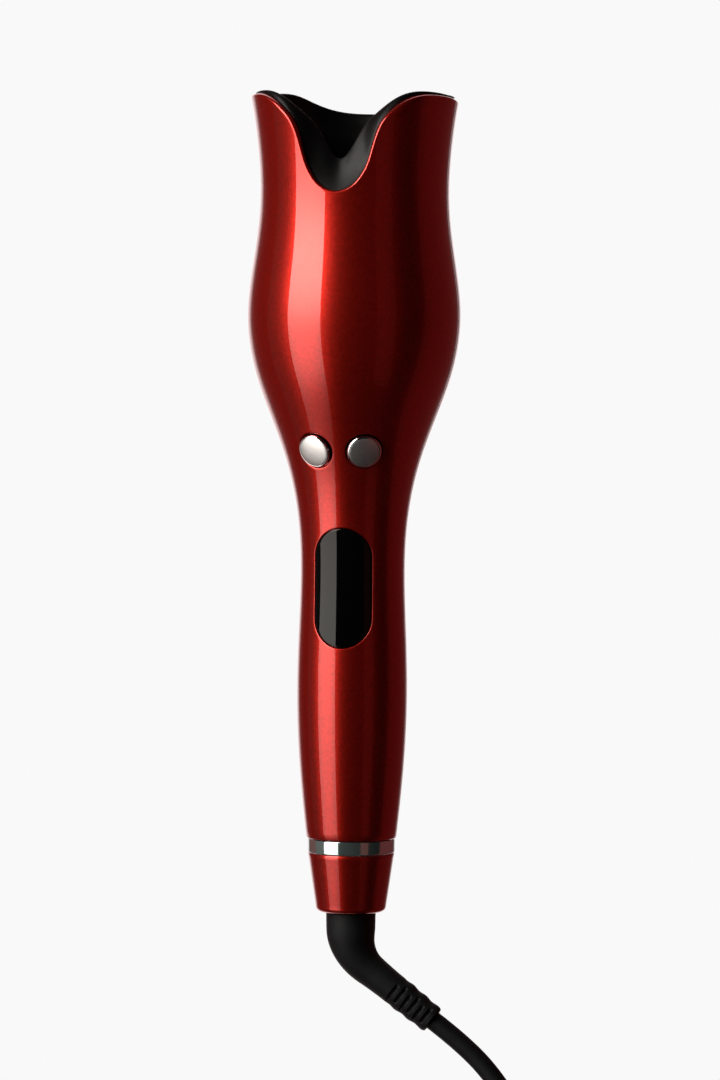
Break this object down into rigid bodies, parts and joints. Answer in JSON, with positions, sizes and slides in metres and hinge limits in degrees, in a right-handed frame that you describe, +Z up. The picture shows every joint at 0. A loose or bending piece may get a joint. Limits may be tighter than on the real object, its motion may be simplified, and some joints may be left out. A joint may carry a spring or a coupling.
{
  "type": "automatic hair curler",
  "caption": "Hand-held hair curler with a tulip-shaped winding head, notched mouth, curved display, round buttons, swivelling elbow cord outlet, mains cord and plug.",
  "frame": {"origin": "bottom centre of the tool's box, on the table it lies on", "axes": "+Y towards the head along the tool, +Z up through the display and the buttons, +X to the tool's right"},
  "size_m": [0.1139, 0.5636, 0.0781],
  "materials": {
    "casing_red": "deep red metallic lacquer with a clear coat",
    "liner_black": "fine satin, heat-proof plastic",
    "barrel_coating": "ceramic coating, satin",
    "ceramic": "fired ceramic",
    "aluminium": "extruded",
    "steel": "zinc plated",
    "deck_plastic": "moulded",
    "gear_plastic": "acetal, natural",
    "brass": "turned or stamped",
    "circuit_board": "solder mask",
    "display_glass": "display face",
    "lens_black": "polished, smoked",
    "silver_caps": "metallised satin face with a bright rim",
    "lead_insulation": "silicone insulation",
    "chrome": "mirror plating",
    "boot_rubber": "matt moulded rubber",
    "cord_jacket": "matt extruded jacket",
    "tie_strap": "hook and loop strap"
  },
  "bodies": {
    "casing": {"front_shell": "casing_red", "rear_shell": "casing_red", "shell_screws": "steel", "mouth_liner": "liner_black", "chamber_sleeve": "liner_black", "heated_barrel": "barrel_coating", "barrel_cap": "liner_black", "heater_element": "ceramic", "heater_clamps": "aluminium", "temperature_sensor": "steel", "thermal_fuse": "steel", "centre_post": "steel", "gearbox_plate": "steel", "deck_plate": "deck_plastic", "gearbox_pillars": "steel", "gearbox_screws": "steel", "idler_axle": "steel", "motor_gearhead": "steel", "motor": "steel", "motor_screws": "steel", "main_board": "circuit_board", "board_screws": "steel", "transformer": "deck_plastic", "capacitor": "deck_plastic", "power_relay": "deck_plastic", "heater_switch": "deck_plastic", "controller_chip": "deck_plastic", "display_lens": "lens_black", "display_gasket": "deck_plastic", "display_module": "display_glass", "display_board": "circuit_board", "button_boards": "circuit_board", "tact_switches": "deck_plastic", "heater_leads": "lead_insulation", "motor_leads": "lead_insulation", "mains_leads": "lead_insulation", "chrome_ring": "chrome", "tail_cap": "casing_red", "swivel_socket": "deck_plastic", "brush_contacts": "brass", "brush_holder": "deck_plastic"},
    "rotor": {"winding_rotor": "liner_black", "rotor_gear": "gear_plastic", "rotor_bush": "gear_plastic"},
    "idler": {"idler_gear": "gear_plastic"},
    "pinion": {"motor_pinion": "brass", "motor_shaft": "steel"},
    "left_button": {"left_button": "silver_caps"},
    "right_button": {"right_button": "silver_caps"},
    "cord_swivel": {"cord_boot": "boot_rubber", "swivel_clip": "steel", "swivel_rings": "brass", "power_cord": "cord_jacket", "cord_coil": "cord_jacket", "cord_end": "cord_jacket", "cord_tie": "tie_strap", "plug_boot": "boot_rubber", "plug_body": "boot_rubber", "plug_blades": "brass"}
  },
  "joints": [
    {"name": "rotor_spin", "type": "hinge", "parent": "casing", "child": "rotor", "pos_m": [0, 0.07733, 0.03719], "axis": [0, 0.993, 0.1185], "continuous": true},
    {"name": "idler_spin", "type": "hinge", "parent": "casing", "child": "idler", "pos_m": [0, 0.06589, 0.01487], "axis": [0, 0.993, 0.1185], "continuous": true},
    {"name": "pinion_spin", "type": "hinge", "parent": "casing", "child": "pinion", "pos_m": [0, 0.06263, 0.02536], "axis": [0, 0.993, 0.1185], "continuous": true},
    {"name": "left_button_press", "type": "slide", "parent": "casing", "child": "left_button", "axis": [0.3306, 0.4438, -0.8329], "range_m": [0, 0.0012], "stiffness_N_per_m": 800, "springref_m": -0.0005},
    {"name": "right_button_press", "type": "slide", "parent": "casing", "child": "right_button", "axis": [-0.3306, 0.4438, -0.8329], "range_m": [0, 0.0012], "stiffness_N_per_m": 800, "springref_m": -0.0005},
    {"name": "cord_swivel_turn", "type": "hinge", "parent": "casing", "child": "cord_swivel", "pos_m": [0, -0.12524, 0.01302], "axis": [0, -0.993, -0.1185], "continuous": true}
  ],
  "couplings": [
    {"joint": "idler_spin", "follows": "rotor_spin", "ratio": -3.3333},
    {"joint": "pinion_spin", "follows": "rotor_spin", "ratio": 8.6667}
  ]
}
